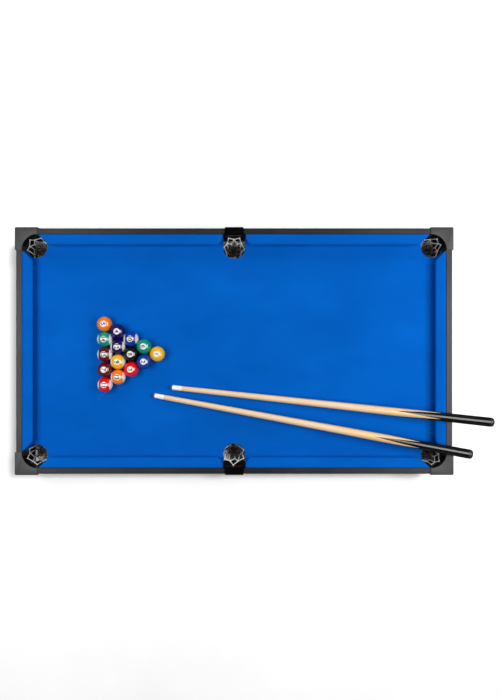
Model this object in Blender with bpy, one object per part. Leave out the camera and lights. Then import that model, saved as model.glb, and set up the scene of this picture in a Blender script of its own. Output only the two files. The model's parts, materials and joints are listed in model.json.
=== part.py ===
"""Tabletop mini pool table with its racked balls and two cues.

Units are metres, +Z is up and the floor is z = 0. The table's long side runs along X. "Front" is -Y,
"back" is +Y, "left" is -X and "right" is +X. Everything hangs on one empty at the table's centre, which
stands TABLE_CENTRE_X off the world origin, so that the origin is the middle of the whole set's footprint.
"""

import math

import bmesh
import bpy
from mathutils import Vector

GAP = 0.0003  # clearance between neighbouring pieces

# Frame
TABLE_LENGTH = 1.2192
TABLE_WIDTH = 0.6865
TABLE_CENTRE_X = -0.0523
RAIL_TOP = 0.138
BOARD_THICKNESS = 0.016
BOARD_HEIGHT = 0.125
BOARD_ROUND = 0.002  # radius of the boards' outer top edge

# Bed
RAIL_ABOVE_BED = 0.036
CLOTH_THICKNESS = 0.001
PANEL_THICKNESS = 0.012
BEAM_X = 0.300
BEAM_WIDTH = 0.022
BEAM_HEIGHT = 0.036

# Pockets. Corner sizes are measured inwards from the two outer faces of the frame.
POCKET_RADIUS = 0.031
CORNER_POCKET_IN = 0.0465
SIDE_POCKET_IN = 0.04885
NOTCH_ANGLE = math.radians(21)  # where a corner hole opens into the panel's edge
NET_TOP_RADIUS = 0.030
NET_BOTTOM_RADIUS = 0.024
NET_WALL = 0.0015
NET_DEPTH = 0.055

# Corner caps, and the pocket liners with their walls
CAP_SIZE = 0.0605
CAP_PLATE = 0.0025
CAP_OVERHANG = 0.0025
CAP_ARC_RADIUS = 0.044
CAP_LIP_HEIGHT = 0.030
CAP_ROUND = 0.0010
LINER_WALL = 0.0025
LINER_FLANGE = 0.0025
FLANGE_START = math.radians(12)  # where the liner's flange starts on the cap's quarter circle
WALL_START = math.radians(18.5)  # where its wall starts
WALL_BELOW_BED = 0.0140
SADDLE_OUTER_HALF = 0.0262
SADDLE_INNER_HALF = 0.0282
SADDLE_REACH = 0.0040  # how far the side cap reaches past the board's inner face at its middle
SADDLE_ARC_RADIUS = 0.120

# Cushions: d is the distance from the board's inner face, z the height above the bed
CUSHION_START = 0.0605
CUSHION_SIDE_END = 0.0320
CUSHION_CHAMFER_AT = 0.0170
CUSHION_PROFILE = (
    (0.0000, 0.0005),
    (0.0000, 0.0350),
    (0.0080, 0.0350),
    (0.0267, 0.0297),
    (0.0287, 0.0274),
    (0.0279, 0.0246),
    (0.0145, 0.0005),
)

# Levelling feet, screwed into the end boards
FOOT_FROM_CORNER = 0.060
FOOT_BORE_RADIUS = 0.0036
FOOT_BORE_DEPTH = 0.032
FOOT_PROFILE = (
    (0.0095, 0.0000),
    (0.0105, 0.0010),
    (0.0105, 0.0050),
    (0.0085, 0.0066),
    (0.0055, 0.0068),
    (0.0055, 0.0118),
    (0.0030, 0.0120),
    (0.0030, 0.0420),
)

# Balls
BALL_RADIUS = 0.0212
BALL_PITCH = 0.0427
RACK_APEX = (-0.2164, -0.0080)
RACK_TURN = math.radians(0.5)
RACK_COLUMNS = ((1,), (2, 6), (3, 8, 10), (13, 9, 12, 4), (11, 7, 15, 14, 5))

# Cues. Stations are distances from the tip end, along the axis.
CUE_TIPS = {"cue_1": (-0.1796, -0.1029), "cue_2": (-0.2294, -0.1255)}
CUE_BUTTS = {"cue_1": (0.7168, -0.1975), "cue_2": (0.6567, -0.2861)}
CUE_LENGTH = 0.9025
CUE_TIP_END = 0.0045
CUE_FERRULE_END = 0.0310
CUE_SHAFT_END = 0.7550
CUE_BUTT_END = 0.8905
CUE_FERRULE_RADIUS = 0.0069
CUE_END_RADIUS = 0.0131

RAIL_INNER_X = TABLE_LENGTH / 2 - BOARD_THICKNESS
RAIL_INNER_Y = TABLE_WIDTH / 2 - BOARD_THICKNESS
BOARD_BOTTOM = RAIL_TOP - BOARD_HEIGHT
BED_TOP = RAIL_TOP - RAIL_ABOVE_BED
PANEL_TOP = BED_TOP - CLOTH_THICKNESS - GAP
PANEL_BOTTOM = PANEL_TOP - PANEL_THICKNESS
WALL_BOTTOM = BED_TOP - WALL_BELOW_BED
ROUND_SIDES = 16
CORNERS = {"front_left": (-1, -1), "front_right": (1, -1), "back_left": (-1, 1), "back_right": (1, 1)}
SIDES = {"front": -1, "back": 1}

POOL_COLOURS = {
    1: (0.93, 0.50, 0.010),
    2: (0.005, 0.045, 0.38),
    3: (0.70, 0.010, 0.010),
    4: (0.030, 0.004, 0.15),
    5: (1.00, 0.21, 0.012),
    6: (0.005, 0.32, 0.20),
    7: (0.19, 0.004, 0.010),
}


def clear_scene():
    for obj in list(bpy.data.objects):
        bpy.data.objects.remove(obj, do_unlink=True)


def material(name, colour, roughness, metallic=0.0):
    made = bpy.data.materials.new(name)
    made.use_nodes = True
    shader = made.node_tree.nodes["Principled BSDF"]
    shader.inputs["Base Color"].default_value = (*colour, 1.0)
    shader.inputs["Roughness"].default_value = roughness
    shader.inputs["Metallic"].default_value = metallic
    return made


def place(name, bm, parent, finish, location=(0, 0, 0)):
    """Links a finished mesh under its parent, with its material."""
    mesh = bpy.data.meshes.new(name)
    bm.to_mesh(mesh)
    bm.free()
    mesh.materials.append(finish)
    obj = bpy.data.objects.new(name, mesh)
    bpy.context.scene.collection.objects.link(obj)
    obj.parent = parent
    obj.location = location
    return obj


def shade_round(obj):
    obj.data.shade_smooth()
    obj.data.set_sharp_from_angle(angle=math.radians(40))


def loft(rings):
    """Closed solid through matching rings of points, with a flat cap on the first and the last."""
    bm = bmesh.new()
    loops = [[bm.verts.new(point) for point in ring] for ring in rings]
    count = len(loops[0])
    for low, high in zip(loops, loops[1:]):
        for i in range(count):
            following = (i + 1) % count
            bm.faces.new((low[i], low[following], high[following], high[i]))
    bm.faces.new(reversed(loops[0]))
    bm.faces.new(loops[-1])
    bmesh.ops.recalc_face_normals(bm, faces=bm.faces)
    return bm


def prism(outline, low, high):
    """Upright solid on a plan outline."""
    return loft([[(x, y, z) for x, y in outline] for z in (low, high)])


def turned(profile, sides=ROUND_SIDES):
    """Solid of revolution about Z through (radius, height) points."""
    angles = [2 * math.pi * i / sides for i in range(sides)]
    return loft([[(r * math.cos(a), r * math.sin(a), z) for a in angles] for r, z in profile])


def arc(centre, radius, start, end, steps):
    """Plan points on an arc, both ends included; angles are in radians."""
    angles = [start + (end - start) * i / steps for i in range(steps + 1)]
    return [(centre[0] + radius * math.cos(a), centre[1] + radius * math.sin(a)) for a in angles]


def cut_off(bm, point, normal):
    """Removes what lies on the normal's side of a plane and caps the cut."""
    everything = bm.verts[:] + bm.edges[:] + bm.faces[:]
    cut = bmesh.ops.bisect_plane(bm, geom=everything, plane_co=point, plane_no=normal, clear_outer=True)
    rim = [item for item in cut["geom_cut"] if isinstance(item, bmesh.types.BMEdge)]
    bmesh.ops.edgenet_fill(bm, edges=rim)
    bmesh.ops.recalc_face_normals(bm, faces=bm.faces)


def helper(name, bm, parent):
    """A solid that only shapes another one."""
    mesh = bpy.data.meshes.new(name)
    bm.to_mesh(mesh)
    bm.free()
    obj = bpy.data.objects.new(name, mesh)
    bpy.context.scene.collection.objects.link(obj)
    obj.parent = parent
    obj.hide_render = True
    obj.display_type = "WIRE"
    return obj


def combine(obj, other, operation):
    boolean = obj.modifiers.new(other.name, "BOOLEAN")
    boolean.operation = operation
    boolean.object = other
    boolean.solver = "EXACT"


def round_edges(obj, width):
    bevel = obj.modifiers.new("rounded edges", "BEVEL")
    bevel.width = width
    bevel.segments = 2
    bevel.limit_method = "ANGLE"
    bevel.angle_limit = math.radians(60)


def turn_about_z(bm, angle, offset):
    """Turns a rail made along X to its own side of the table and moves it out there."""
    for vertex in bm.verts:
        x, y, z = vertex.co
        vertex.co = (
            x * math.cos(angle) - y * math.sin(angle) + offset[0],
            x * math.sin(angle) + y * math.cos(angle) + offset[1],
            z,
        )


def quarter_to_outline(quarter):
    """Closed plan outline from the points of its +X +Y quarter, which run from the right side to the back."""
    back_left = [(-x, y) for x, y in reversed(quarter[:-1])]
    front_left = [(-x, -y) for x, y in quarter]
    front_right = [(x, -y) for x, y in reversed(quarter[:-1])]
    return quarter + back_left + front_left + front_right


def bed_outline():
    """The bed's plan: a rectangle with an open round notch at each corner and each long side's middle."""
    edge_x = RAIL_INNER_X - GAP
    edge_y = RAIL_INNER_Y - GAP
    corner = (TABLE_LENGTH / 2 - CORNER_POCKET_IN, TABLE_WIDTH / 2 - CORNER_POCKET_IN)
    side_y = TABLE_WIDTH / 2 - SIDE_POCKET_IN
    notch = arc(corner, POCKET_RADIUS, -NOTCH_ANGLE, math.pi / 2 + NOTCH_ANGLE - 2 * math.pi, 16)
    half_side = arc((0.0, side_y), POCKET_RADIUS, 0.0, -math.pi / 2, 6)
    quarter = [(edge_x, notch[0][1])] + notch
    quarter += [(notch[-1][0], edge_y), (POCKET_RADIUS, edge_y)] + half_side
    return quarter_to_outline(quarter)


def make_bed(table, looks):
    outline = bed_outline()
    place("bed_panel", prism(outline, PANEL_BOTTOM, PANEL_TOP), table, looks["board core"])
    place("bed_cloth", prism(outline, BED_TOP - CLOTH_THICKNESS, BED_TOP), table, looks["cloth"])
    end_y = RAIL_INNER_Y - GAP
    top = PANEL_BOTTOM - GAP
    for name, x in (("left", -BEAM_X), ("right", BEAM_X)):
        low_x = x - BEAM_WIDTH / 2
        high_x = x + BEAM_WIDTH / 2
        outline = [(low_x, -end_y), (high_x, -end_y), (high_x, end_y), (low_x, end_y)]
        place(f"cross_beam_{name}", prism(outline, top - BEAM_HEIGHT, top), table, looks["board core"])


def make_frame(table, looks):
    """Four apron boards, mitred at the corners, with a rounded outer top edge."""
    rounding = arc((BOARD_ROUND, RAIL_TOP - BOARD_ROUND), BOARD_ROUND, math.pi / 2, math.pi, 4)
    profile = [(0.0, BOARD_BOTTOM), (BOARD_THICKNESS, BOARD_BOTTOM), (BOARD_THICKNESS, RAIL_TOP)] + rounding
    boards = (
        ("front", TABLE_LENGTH, 0.0, (0.0, -TABLE_WIDTH / 2)),
        ("right", TABLE_WIDTH, math.pi / 2, (TABLE_LENGTH / 2, 0.0)),
        ("back", TABLE_LENGTH, math.pi, (0.0, TABLE_WIDTH / 2)),
        ("left", TABLE_WIDTH, -math.pi / 2, (-TABLE_LENGTH / 2, 0.0)),
    )
    made = {}
    for name, length, angle, offset in boards:
        half = length / 2 - GAP
        bm = loft([[(side * (half - d), d, z) for d, z in profile] for side in (-1, 1)])
        turn_about_z(bm, angle, offset)
        made[name] = place(f"frame_board_{name}", bm, table, looks["laminate"])
        shade_round(made[name])
    return made


def make_feet(boards, table, looks):
    """Levelling feet near the corners, each with its stem in a bore in an end board's underside."""
    for name, (sx, sy) in CORNERS.items():
        board = boards["left" if sx < 0 else "right"]
        x = sx * (TABLE_LENGTH / 2 - BOARD_THICKNESS / 2)
        y = sy * (TABLE_WIDTH / 2 - FOOT_FROM_CORNER)
        bore = turned(((FOOT_BORE_RADIUS, -0.010), (FOOT_BORE_RADIUS, FOOT_BORE_DEPTH)))
        cutter = helper(f"{name} foot bore", bore, table)
        cutter.location = (x, y, BOARD_BOTTOM)
        combine(board, cutter, "DIFFERENCE")
        foot = turned(FOOT_PROFILE)
        shade_round(place(f"levelling_foot_{name}", foot, table, looks["foot"], (x, y, 0.0)))


def cushion(start, end, corner_ends):
    """A cloth-covered rubber rail from start to end along X, its ends cut for the pockets beside them."""
    profile = [(d + GAP, z + BED_TOP) for d, z in CUSHION_PROFILE]
    bm = loft([[(x, d, z) for d, z in profile] for x in (start, end)])
    for x, outward in ((start, -1), (end, 1)):
        at_corner = corner_ends[(outward + 1) // 2]
        depth = GAP if at_corner else CUSHION_CHAMFER_AT
        cut_off(bm, Vector((x, depth, 0.0)), Vector((outward, 1.0, 0.0)).normalized())
    return bm


def make_cushions(table, looks):
    corner_x = TABLE_LENGTH / 2 - CUSHION_START
    corner_y = TABLE_WIDTH / 2 - CUSHION_START
    rails = (
        ("front_left", -corner_x, -CUSHION_SIDE_END, (True, False), 0.0, (0.0, -RAIL_INNER_Y)),
        ("front_right", CUSHION_SIDE_END, corner_x, (False, True), 0.0, (0.0, -RAIL_INNER_Y)),
        ("right", -corner_y, corner_y, (True, True), math.pi / 2, (RAIL_INNER_X, 0.0)),
        ("back_right", -corner_x, -CUSHION_SIDE_END, (True, False), math.pi, (0.0, RAIL_INNER_Y)),
        ("back_left", CUSHION_SIDE_END, corner_x, (False, True), math.pi, (0.0, RAIL_INNER_Y)),
        ("left", -corner_y, corner_y, (True, True), -math.pi / 2, (-RAIL_INNER_X, 0.0)),
    )
    for name, start, end, corner_ends, angle, offset in rails:
        bm = cushion(start, end, corner_ends)
        turn_about_z(bm, angle, offset)
        place(f"cushion_{name}", bm, table, looks["cloth"])


def corner_cap_outlines():
    """Plans of the cap's plate and outer lip, measured inwards from the frame's outer corner."""
    out = -CAP_OVERHANG
    plate = [(out, out), (CAP_SIZE, out)]
    plate += arc((CAP_SIZE, CAP_SIZE), CAP_ARC_RADIUS, -math.pi / 2, -math.pi, 12)
    plate += [(out, CAP_SIZE)]
    lip = [(out, out), (CAP_SIZE, out), (CAP_SIZE, -GAP), (-GAP, -GAP), (-GAP, CAP_SIZE), (out, CAP_SIZE)]
    return plate, lip


def corner_liner_outlines():
    """Plans of a corner pocket liner: a flange between the boards and a wall round the pocket."""
    inner = BOARD_THICKNESS + GAP
    middle = (CAP_SIZE, CAP_SIZE)
    radius = CAP_ARC_RADIUS + 0.0001
    flange = arc(middle, radius, -math.pi / 2 - FLANGE_START, -math.pi + FLANGE_START, 8)
    flange += [(inner, flange[-1][1]), (inner, inner), (flange[0][0], inner)]
    first = -math.pi / 2 - WALL_START
    last = -math.pi + WALL_START
    wall = arc(middle, radius, first, last, 8)
    wall += arc(middle, radius + LINER_WALL, last, first, 8)
    return flange, wall


def side_liner_outlines():
    """Plans of a side pocket liner's saddle, outer lip and wall: x along the rail, y inwards."""
    out = -CAP_OVERHANG
    centre = (0.0, BOARD_THICKNESS + SADDLE_REACH + SADDLE_ARC_RADIUS)
    half_angle = math.asin(SADDLE_INNER_HALF / SADDLE_ARC_RADIUS)
    first = -math.pi / 2 + half_angle
    last = -math.pi / 2 - half_angle
    inner_edge = arc(centre, SADDLE_ARC_RADIUS, first, last, 6)
    saddle = [(-SADDLE_OUTER_HALF, out), (SADDLE_OUTER_HALF, out)] + inner_edge
    lip = [(-SADDLE_OUTER_HALF, out), (SADDLE_OUTER_HALF, out)]
    lip += [(SADDLE_OUTER_HALF, -GAP), (-SADDLE_OUTER_HALF, -GAP)]
    wall = arc(centre, SADDLE_ARC_RADIUS + 0.0001, first, last, 6)
    wall += arc(centre, SADDLE_ARC_RADIUS + LINER_WALL, last, first, 6)
    return saddle, lip, wall


def make_moulding(name, layers, to_table, table, finish):
    """One moulding from a plan outline with its heights, joined to others that reach into it."""
    solids = [prism([to_table(u, v) for u, v in outline], low, high) for outline, low, high in layers]
    obj = place(name, solids[0], table, finish)
    for number, solid in enumerate(solids[1:], 1):
        combine(obj, helper(f"{name} layer {number}", solid, table), "UNION")
    round_edges(obj, CAP_ROUND)


def make_pockets(table, looks):
    plate_low = RAIL_TOP + GAP
    plate_high = plate_low + CAP_PLATE
    inside_plate = plate_low + CAP_PLATE / 2
    lip_low = RAIL_TOP - CAP_LIP_HEIGHT
    flange_low = RAIL_TOP - LINER_FLANGE
    for name, (sx, sy) in CORNERS.items():

        def to_corner(u, v, sx=sx, sy=sy):
            return sx * (TABLE_LENGTH / 2 - u), sy * (TABLE_WIDTH / 2 - v)

        plate, lip = corner_cap_outlines()
        layers = ((plate, plate_low, plate_high), (lip, lip_low, inside_plate))
        make_moulding(f"corner_cap_{name}", layers, to_corner, table, looks["cap plastic"])
        flange, wall = corner_liner_outlines()
        layers = ((flange, flange_low, RAIL_TOP), (wall, WALL_BOTTOM, flange_low + LINER_FLANGE / 2))
        make_moulding(f"pocket_liner_{name}", layers, to_corner, table, looks["pocket plastic"])
    for name, sy in SIDES.items():

        def to_side(u, v, sy=sy):
            return u, sy * (TABLE_WIDTH / 2 - v)

        saddle, lip, wall = side_liner_outlines()
        layers = (
            (saddle, plate_low, plate_high),
            (lip, lip_low, inside_plate),
            (wall, WALL_BOTTOM, inside_plate),
        )
        make_moulding(f"pocket_liner_{name}_middle", layers, to_side, table, looks["pocket plastic"])


def make_nets(table, looks):
    """Each net's outer shape as a plain tapered cup, open at the top."""
    low = -NET_DEPTH
    inner_top = NET_TOP_RADIUS - NET_WALL
    inner_bottom = NET_BOTTOM_RADIUS - NET_WALL
    middle = (NET_TOP_RADIUS + NET_BOTTOM_RADIUS) / 2 + NET_WALL
    cup = (
        (inner_bottom * 0.6, low + NET_WALL),
        (inner_bottom, low + 0.006),
        (middle - NET_WALL, low / 2),
        (inner_top, 0.0),
        (NET_TOP_RADIUS, 0.0),
        (middle, low / 2),
        (NET_BOTTOM_RADIUS, low + 0.005),
        (NET_BOTTOM_RADIUS * 0.6, low),
    )
    places = {
        name: (sx * (TABLE_LENGTH / 2 - CORNER_POCKET_IN), sy * (TABLE_WIDTH / 2 - CORNER_POCKET_IN))
        for name, (sx, sy) in CORNERS.items()
    }
    for name, sy in SIDES.items():
        places[f"{name}_middle"] = (0.0, sy * (TABLE_WIDTH / 2 - SIDE_POCKET_IN))
    for name, (x, y) in places.items():
        obj = place(f"pocket_net_{name}", turned(cup), table, looks["net cord"], (x, y, WALL_BOTTOM - GAP))
        shade_round(obj)


def make_balls(table, looks):
    """Fifteen balls racked behind the apex ball; column by column, front to back."""
    for column, numbers in enumerate(RACK_COLUMNS):
        for row, number in enumerate(numbers):
            behind = -column * BALL_PITCH * math.cos(math.pi / 6)
            across = (row - column / 2) * BALL_PITCH
            x = RACK_APEX[0] + behind * math.cos(RACK_TURN) - across * math.sin(RACK_TURN)
            y = RACK_APEX[1] + behind * math.sin(RACK_TURN) + across * math.cos(RACK_TURN)
            bm = bmesh.new()
            bmesh.ops.create_icosphere(bm, subdivisions=3, radius=BALL_RADIUS)
            location = (x, y, BED_TOP + GAP + BALL_RADIUS)
            shade_round(place(f"ball_{number}", bm, table, looks[f"ball {number}"], location))


def cue_radius(station):
    """The wood tapers evenly from the ferrule to the butt."""
    share = (station - CUE_FERRULE_END) / (CUE_LENGTH - CUE_FERRULE_END)
    return CUE_FERRULE_RADIUS + (CUE_END_RADIUS - CUE_FERRULE_RADIUS) * share


def cue_line(tip_xy, butt_xy, rest_height):
    """Tip centre and unit direction of a cue whose tip is on the bed and whose wood lies on the right rail."""
    tip = Vector((*tip_xy, BED_TOP + GAP + CUE_FERRULE_RADIUS))
    run = Vector(butt_xy) - Vector(tip_xy)
    heading = run.normalized()
    to_rail = (RAIL_INNER_X - tip.x) / heading.x
    slope = (rest_height + GAP + cue_radius(to_rail) - tip.z) / to_rail
    return tip, Vector((heading.x, heading.y, slope)).normalized()


def make_cue(name, rest_height, table, looks):
    """Five turned pieces on one axis; the empty at the tip carries the axis."""
    tip, direction = cue_line(CUE_TIPS[name], CUE_BUTTS[name], rest_height)
    axis = bpy.data.objects.new(f"{name} axis", None)
    bpy.context.scene.collection.objects.link(axis)
    axis.parent = table
    axis.location = tip
    axis.rotation_mode = "QUATERNION"
    axis.rotation_quaternion = direction.to_track_quat("Z", "Y")
    ferrule = CUE_FERRULE_RADIUS
    butt_start = CUE_SHAFT_END + GAP
    bumper_start = CUE_BUTT_END + GAP
    pieces = {
        "tip": ((0.0030, 0.0), (0.0052, 0.0007), (0.0065, 0.0022), (0.0066, CUE_TIP_END)),
        "ferrule": ((ferrule - 0.0001, CUE_TIP_END + GAP), (ferrule, CUE_FERRULE_END)),
        "shaft": ((ferrule, CUE_FERRULE_END + GAP), (cue_radius(CUE_SHAFT_END), CUE_SHAFT_END)),
        "butt": ((cue_radius(butt_start), butt_start), (cue_radius(CUE_BUTT_END), CUE_BUTT_END)),
        "bumper": (
            (cue_radius(bumper_start), bumper_start),
            (CUE_END_RADIUS, CUE_LENGTH - 0.0085),
            (CUE_END_RADIUS * 0.95, CUE_LENGTH - 0.0045),
            (CUE_END_RADIUS * 0.83, CUE_LENGTH - 0.0015),
            (CUE_END_RADIUS * 0.60, CUE_LENGTH),
        ),
    }
    for piece, profile in pieces.items():
        shade_round(place(f"{name}_{piece}", turned(profile), axis, looks[f"cue {piece}"]))


def make_looks():
    looks = {
        "cloth": material("cloth", (0.004, 0.106, 0.52), 0.95),
        "board core": material("board core", (0.42, 0.30, 0.19), 0.80),
        "laminate": material("laminate", (0.045, 0.045, 0.048), 0.45),
        "cap plastic": material("cap plastic", (0.105, 0.106, 0.110), 0.50),
        "pocket plastic": material("pocket plastic", (0.008, 0.008, 0.009), 0.30),
        "net cord": material("net cord", (0.55, 0.53, 0.49), 0.90),
        "foot": material("foot", (0.015, 0.015, 0.016), 0.60),
        "cue tip": material("cue tip", (0.26, 0.13, 0.07), 0.85),
        "cue ferrule": material("cue ferrule", (0.86, 0.85, 0.82), 0.35),
        "cue shaft": material("cue shaft", (0.72, 0.50, 0.27), 0.35),
        "cue butt": material("cue butt", (0.006, 0.006, 0.007), 0.15),
        "cue bumper": material("cue bumper", (0.020, 0.020, 0.022), 0.70),
        "ball 8": material("ball 8", (0.004, 0.004, 0.005), 0.08),
    }
    for number, colour in POOL_COLOURS.items():
        looks[f"ball {number}"] = material(f"ball {number}", colour, 0.08)
        striped = [0.4 + 0.6 * channel for channel in colour]
        looks[f"ball {number + 8}"] = material(f"ball {number + 8}", striped, 0.08)
    return looks


def main():
    clear_scene()
    table = bpy.data.objects.new("table centre", None)
    bpy.context.scene.collection.objects.link(table)
    table.location = (TABLE_CENTRE_X, 0.0, 0.0)
    looks = make_looks()
    make_bed(table, looks)
    boards = make_frame(table, looks)
    make_feet(boards, table, looks)
    make_cushions(table, looks)
    make_pockets(table, looks)
    make_nets(table, looks)
    make_balls(table, looks)
    make_cue("cue_1", RAIL_TOP, table, looks)
    make_cue("cue_2", RAIL_TOP + GAP + CAP_PLATE, table, looks)


main()
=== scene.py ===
"""Looks of the tabletop mini pool table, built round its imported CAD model.

Everything is in metres, in the CAD's own frame: +Z up, the table's long side along X. Sizes and places
are read from the CAD nodes. The cloth, cushions, nets, balls, cues, caps, liners and feet are finer pieces
that stand for their plain CAD solids; the boards, beams and panel are the CAD's own, with materials.
"""

import json
import math
import random

import bmesh
import bpy
from mathutils import Matrix, Vector


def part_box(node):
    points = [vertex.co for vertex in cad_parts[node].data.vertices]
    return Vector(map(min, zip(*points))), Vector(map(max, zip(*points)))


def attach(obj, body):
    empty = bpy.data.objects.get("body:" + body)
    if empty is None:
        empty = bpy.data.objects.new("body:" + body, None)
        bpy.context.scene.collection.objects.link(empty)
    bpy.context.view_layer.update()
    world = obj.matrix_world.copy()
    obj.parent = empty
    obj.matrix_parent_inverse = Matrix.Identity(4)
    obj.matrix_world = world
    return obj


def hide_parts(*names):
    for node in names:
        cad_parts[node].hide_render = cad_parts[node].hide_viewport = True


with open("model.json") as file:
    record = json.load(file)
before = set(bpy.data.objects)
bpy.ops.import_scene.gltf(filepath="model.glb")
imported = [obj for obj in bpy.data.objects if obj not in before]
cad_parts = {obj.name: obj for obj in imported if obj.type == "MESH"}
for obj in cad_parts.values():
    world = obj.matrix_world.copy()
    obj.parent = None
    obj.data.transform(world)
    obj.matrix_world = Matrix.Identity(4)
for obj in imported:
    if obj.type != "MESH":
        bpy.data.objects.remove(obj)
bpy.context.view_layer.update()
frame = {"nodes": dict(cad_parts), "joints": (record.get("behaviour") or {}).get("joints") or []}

MM = 0.001
CORNERS = {"front_left": (-1, -1), "front_right": (1, -1), "back_left": (-1, 1), "back_right": (1, 1)}
SIDES = {"front": -1, "back": 1}

# The table's outline, read from its boards
TABLE_LEFT, TABLE_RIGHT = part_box("frame_board_left")[0].x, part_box("frame_board_right")[1].x
CENTRE_X = (TABLE_LEFT + TABLE_RIGHT) / 2
HALF_LENGTH = (TABLE_RIGHT - TABLE_LEFT) / 2
HALF_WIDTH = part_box("frame_board_back")[1].y
BOARD_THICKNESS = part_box("frame_board_left")[1].x - TABLE_LEFT
RAIL_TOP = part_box("frame_board_back")[1].z
BED_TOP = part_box("bed_cloth")[1].z

# Camera and light
CAMERA_ABOVE_RAIL = 1.760
CAMERA_LENS = 32.40  # mm, for a sensor 36 mm on its long side
CAMERA_SHIFT = (0.0226, 0.0015)
SOFTBOX_HEIGHT = 1.3  # above the bed
SOFTBOXES = (  # name, x, size, watts
    ("left softbox", -0.98, (0.80, 1.0), 17.3),
    ("right softbox", 1.15, (1.15, 1.0), 27.5),
)
BACK_FILL = ("back fill", (0.1, 1.8, 1.0), (2.4, 0.8), 12.5)  # name, place, size, watts
GLINT = ("glint on the resin", 1.50, (1.20, 1.60), 170.0)  # as a softbox, but it lights the balls only
SUN_POWER = 3.2
SUN_ANGLE = math.radians(9)
SUN_HEADING = (-0.45, -0.24, -1.0)
FLOOR_HALF = 250.0  # half the floor's side
FLOOR_GAP = 0.2 * MM  # the floor lies this much below the feet
HORIZON_DIP = 0.006  # the light tent's glow starts this far below the horizon
TENT_GLOW = ((0.0, 0.02), (0.001, 0.9), (0.056, 0.9), (0.166, 0.13), (0.706, 0.08), (1.0, 0.01))


# --- node materials


def node(tree, kind, inputs=None, **settings):
    """Adds a shader node; an input given as a socket is linked, and any other value is set."""
    made = tree.nodes.new(kind)
    for key, value in settings.items():
        setattr(made, key, value)
    for name, value in (inputs or {}).items():
        if isinstance(value, bpy.types.NodeSocket):
            tree.links.new(value, made.inputs[name])
        else:
            made.inputs[name].default_value = value
    return made


def start_material(name, **sockets):
    """A node material, its shader's even values set, and its object coordinates."""
    made = bpy.data.materials.new(name)
    made.use_nodes = True
    shader = made.node_tree.nodes["Principled BSDF"]
    for socket, value in sockets.items():
        shader.inputs[socket.replace("_", " ")].default_value = value
    where = node(made.node_tree, "ShaderNodeTexCoord").outputs["Object"]
    return made, made.node_tree, shader, where


def feed(shader, socket, source):
    shader.id_data.links.new(source, shader.inputs[socket])


def noise(tree, where, stretch, detail=4.0):
    """Noise whose features are about 1 / stretch metres along each axis; one number serves all three."""
    stretch = stretch if isinstance(stretch, tuple) else (stretch,) * 3
    scaled = node(tree, "ShaderNodeVectorMath", {0: where, 1: stretch}, operation="MULTIPLY")
    inputs = {"Vector": scaled.outputs[0], "Scale": 1.0, "Detail": detail, "Roughness": 0.6}
    return node(tree, "ShaderNodeTexNoise", inputs).outputs[0]


def weighted(tree, factor, weight, added=0.0):
    """factor * weight + added."""
    inputs = {0: factor, 1: weight, 2: added}
    return node(tree, "ShaderNodeMath", inputs, operation="MULTIPLY_ADD").outputs[0]


def component(tree, vector, axis):
    return node(tree, "ShaderNodeSeparateXYZ", {0: vector}).outputs[axis]


def ramp(tree, factor, stops):
    """Colours at positions along a factor."""
    made = node(tree, "ShaderNodeValToRGB", {"Fac": factor})
    elements = made.color_ramp.elements
    while len(elements) < len(stops):
        elements.new(0.5)
    for element, (position, colour) in zip(elements, stops):
        element.position = position
        element.color = (*colour, 1.0)
    return made.outputs["Color"]


def spread(tree, factor, low, high):
    """Maps noise's usual range, 0.3 to 0.7, onto low to high."""
    inputs = {"Value": factor, "From Min": 0.3, "From Max": 0.7, "To Min": low, "To Max": high}
    return node(tree, "ShaderNodeMapRange", inputs).outputs[0]


def smooth_step(tree, value, start, end):
    """0 below start, 1 above end, and a smooth rise between."""
    inputs = {"Value": value, "From Min": start, "From Max": end}
    return node(tree, "ShaderNodeMapRange", inputs, interpolation_type="SMOOTHSTEP").outputs[0]


def bump(tree, shader, height, distance, strength=1.0):
    made = node(tree, "ShaderNodeBump", {"Height": height, "Distance": distance, "Strength": strength})
    feed(shader, "Normal", made.outputs[0])


def mottled(name, dark, light, coarse, fine, rough, relief, **sockets):
    """Moulded, cast or pressed stuff: a coarse noise colours it, a fine one sets roughness and relief."""
    made, tree, shader, where = start_material(name, **sockets)
    feed(shader, "Base Color", ramp(tree, noise(tree, where, coarse), ((0.32, dark), (0.68, light))))
    texture = noise(tree, where, fine, 6.0)
    feed(shader, "Roughness", spread(tree, texture, *rough))
    bump(tree, shader, texture, relief)
    return made


def felt_material():
    """Napped cloth: broad brush marks, a fine directional nap and short stray fibres."""
    made, tree, shader, where = start_material(
        "billiard_felt", Roughness=0.95, Sheen_Weight=0.02, Sheen_Roughness=0.5, Specular_IOR_Level=0.0
    )
    broad = noise(tree, where, (5.0, 9.0, 9.0), 3.0)
    nap = noise(tree, where, (700.0, 2200.0, 2200.0), 3.0)
    mixed = weighted(tree, nap, 0.55, weighted(tree, broad, 0.45))
    stops = ((0.30, (0.0008, 0.080, 0.380)), (0.50, (0.0011, 0.099, 0.460)), (0.70, (0.0018, 0.120, 0.540)))
    feed(shader, "Base Color", ramp(tree, mixed, stops))
    bump(tree, shader, noise(tree, where, 1600.0, 2.0), 0.00035, 0.7)
    return made


def laminate_material(name, stretch):
    """Printed film over fibreboard: dark charcoal with a fine grain along the board."""
    made, tree, shader, where = start_material(name, Specular_IOR_Level=0.29)
    grain = noise(tree, where, stretch, 8.0)
    cloud = noise(tree, where, 6.0, 3.0)
    stops = ((0.60, (0.009, 0.0092, 0.010)), (0.85, (0.014, 0.0142, 0.015)), (1.0, (0.020, 0.020, 0.021)))
    feed(shader, "Base Color", ramp(tree, weighted(tree, grain, 0.7, cloud), stops))
    feed(shader, "Roughness", spread(tree, grain, 0.36, 0.50))
    bump(tree, shader, grain, 0.00012, 0.5)
    return made


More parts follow.
